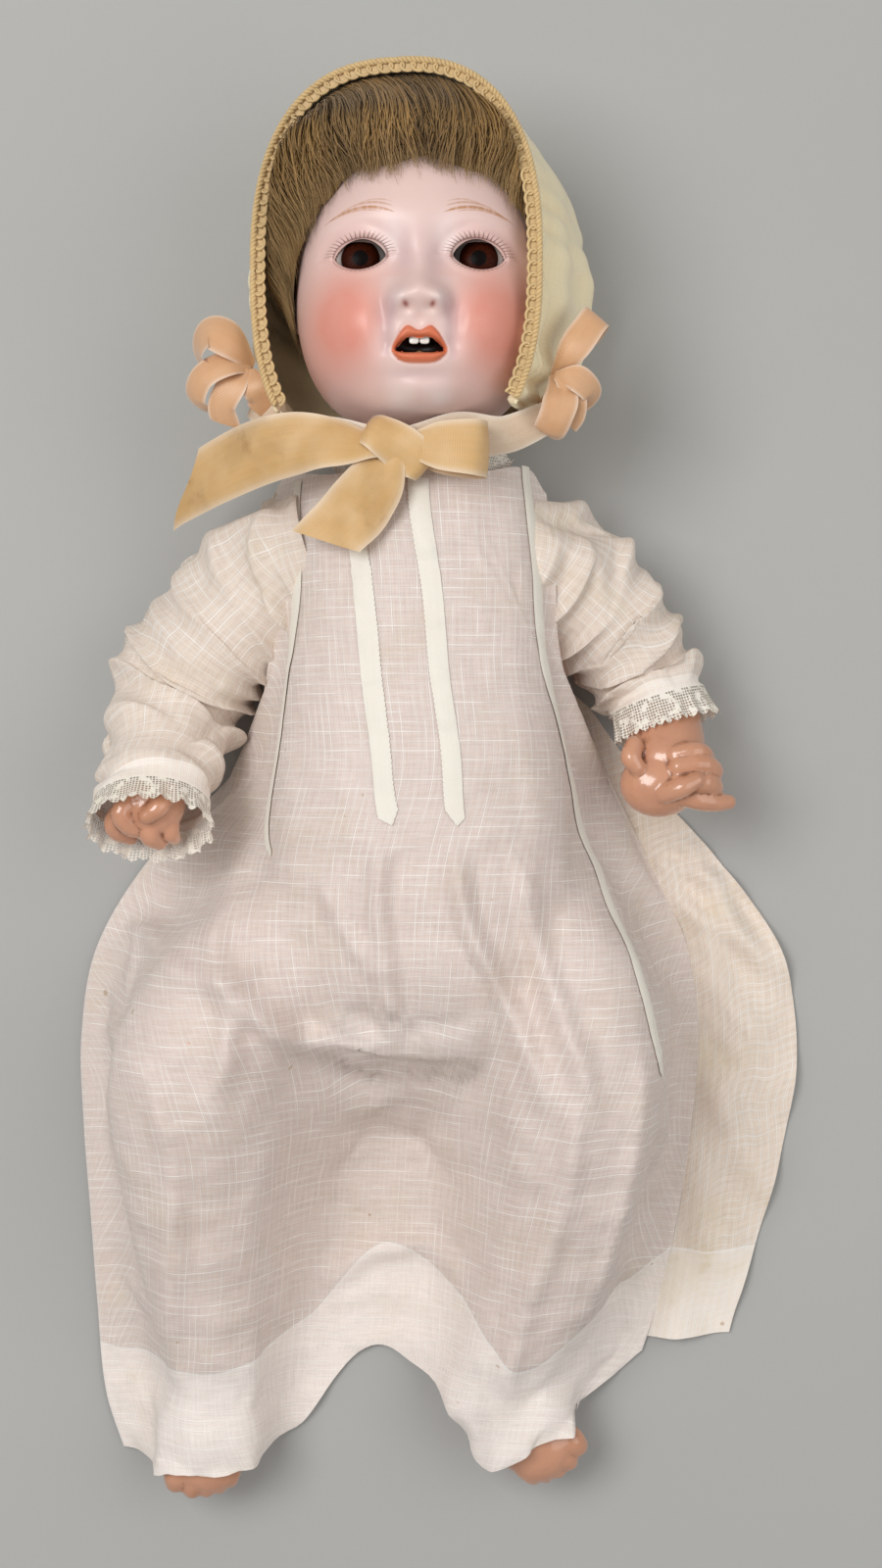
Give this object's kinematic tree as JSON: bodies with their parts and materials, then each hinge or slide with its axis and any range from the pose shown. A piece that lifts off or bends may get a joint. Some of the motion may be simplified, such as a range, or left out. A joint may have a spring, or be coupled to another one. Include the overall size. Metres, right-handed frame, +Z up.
{
  "type": "baby doll",
  "caption": "Bisque-head baby doll with sleep eyes on a strung bent-limb body, in a sheer long gown and a tied bonnet, lying on its back.",
  "frame": {"origin": "on the floor plane under the middle of the belly, on the flat underside of the gown's back", "axes": "+Y from the feet to the crown, +Z up from the floor (the doll's front), +X to the doll's left"},
  "size_m": [0.3144, 0.5968, 0.131],
  "materials": {
    "bisque": "matt unglazed porcelain, hand tinted",
    "composition": "lacquered wood-pulp composition, worn at the tips",
    "lawn": "sheer checked cotton lawn",
    "lace": "cotton lace and braid",
    "silk": "yellowed silk ribbon",
    "peach_ribbon": "peach silk ribbon",
    "bonnet_cloth": "cream silk",
    "eye_glass": "blown brown glass, polished",
    "mohair": "brown mohair",
    "iron_wire": "plain wire",
    "elastic": "cotton-covered elastic cord",
    "plaster": "plaster",
    "card": "pressed card",
    "turned_wood": "turned, unpainted",
    "lead": "cast lead",
    "cork": "cork",
    "enamel": "glossy"
  },
  "bodies": {
    "torso": {"torso_front": "composition", "torso_back": "composition", "arm_elastic": "elastic", "leg_elastic": "elastic", "gown_front": "lawn", "gown_back": "lawn", "neck_lace": "lace", "left_tape": "lace", "right_tape": "lace", "left_band": "lace", "right_band": "lace", "bow_knot": "silk", "bow_loop": "silk", "bow_left_tail": "silk", "bow_right_tail": "silk"},
    "neck": {"neck_hook": "iron_wire", "neck_button": "turned_wood"},
    "head": {"bisque_head": "bisque", "upper_teeth": "enamel", "crown_pate": "card", "wig_cap": "lace", "mohair_wig": "mohair", "left_pivot": "plaster", "right_pivot": "plaster", "weight_stop": "cork", "bonnet_shell": "bonnet_cloth", "bonnet_braid": "lace", "left_rosette": "peach_ribbon", "right_rosette": "peach_ribbon", "left_tie": "silk", "right_tie": "silk"},
    "sleep_eyes": {"left_eye": "eye_glass", "right_eye": "eye_glass", "eye_rocker": "iron_wire", "eye_weight": "lead"},
    "left_arm": {"left_arm": "composition", "left_arm_hook": "iron_wire", "left_sleeve": "lawn", "left_cuff": "lace"},
    "left_leg": {"left_leg": "composition", "left_leg_hook": "iron_wire"},
    "right_arm": {"right_arm": "composition", "right_arm_hook": "iron_wire", "right_sleeve": "lawn", "right_cuff": "lace"},
    "right_leg": {"right_leg": "composition", "right_leg_hook": "iron_wire"}
  },
  "joints": [
    {"name": "head_nod", "type": "hinge", "parent": "torso", "child": "neck", "pos_m": [0, 0.134, 0.058], "axis": [1, 0, 0], "range_deg": [-8, 12], "deforming": ["bow_knot", "bow_loop", "bow_left_tail", "neck_lace"]},
    {"name": "head_turn", "type": "hinge", "parent": "neck", "child": "head", "pos_m": [0, 0.134, 0.058], "axis": [0, 1, 0], "range_deg": [-55, 55], "deforming": ["left_tie", "right_tie"]},
    {"name": "eye_rock", "type": "hinge", "parent": "head", "child": "sleep_eyes", "pos_m": [0, 0.206, 0.0954], "axis": [1, 0, 0], "range_deg": [0, 55]},
    {"name": "left_shoulder", "type": "hinge", "parent": "torso", "child": "left_arm", "pos_m": [0.056, 0.088, 0.046], "axis": [-1, 0, 0], "range_deg": [0, 110], "deforming": ["arm_elastic"]},
    {"name": "right_shoulder", "type": "hinge", "parent": "torso", "child": "right_arm", "pos_m": [-0.056, 0.088, 0.046], "axis": [-1, 0, 0], "range_deg": [0, 110], "deforming": ["bow_right_tail"]},
    {"name": "left_hip", "type": "hinge", "parent": "torso", "child": "left_leg", "pos_m": [0.046, -0.058, 0.05], "axis": [-0.9397, 0.342, 0], "range_deg": [0, 90], "deforming": ["gown_front", "leg_elastic", "left_band", "left_tape"]},
    {"name": "right_hip", "type": "hinge", "parent": "torso", "child": "right_leg", "pos_m": [-0.046, -0.058, 0.05], "axis": [-0.9397, -0.342, 0], "range_deg": [0, 90], "deforming": ["right_band", "right_tape"]}
  ]
}
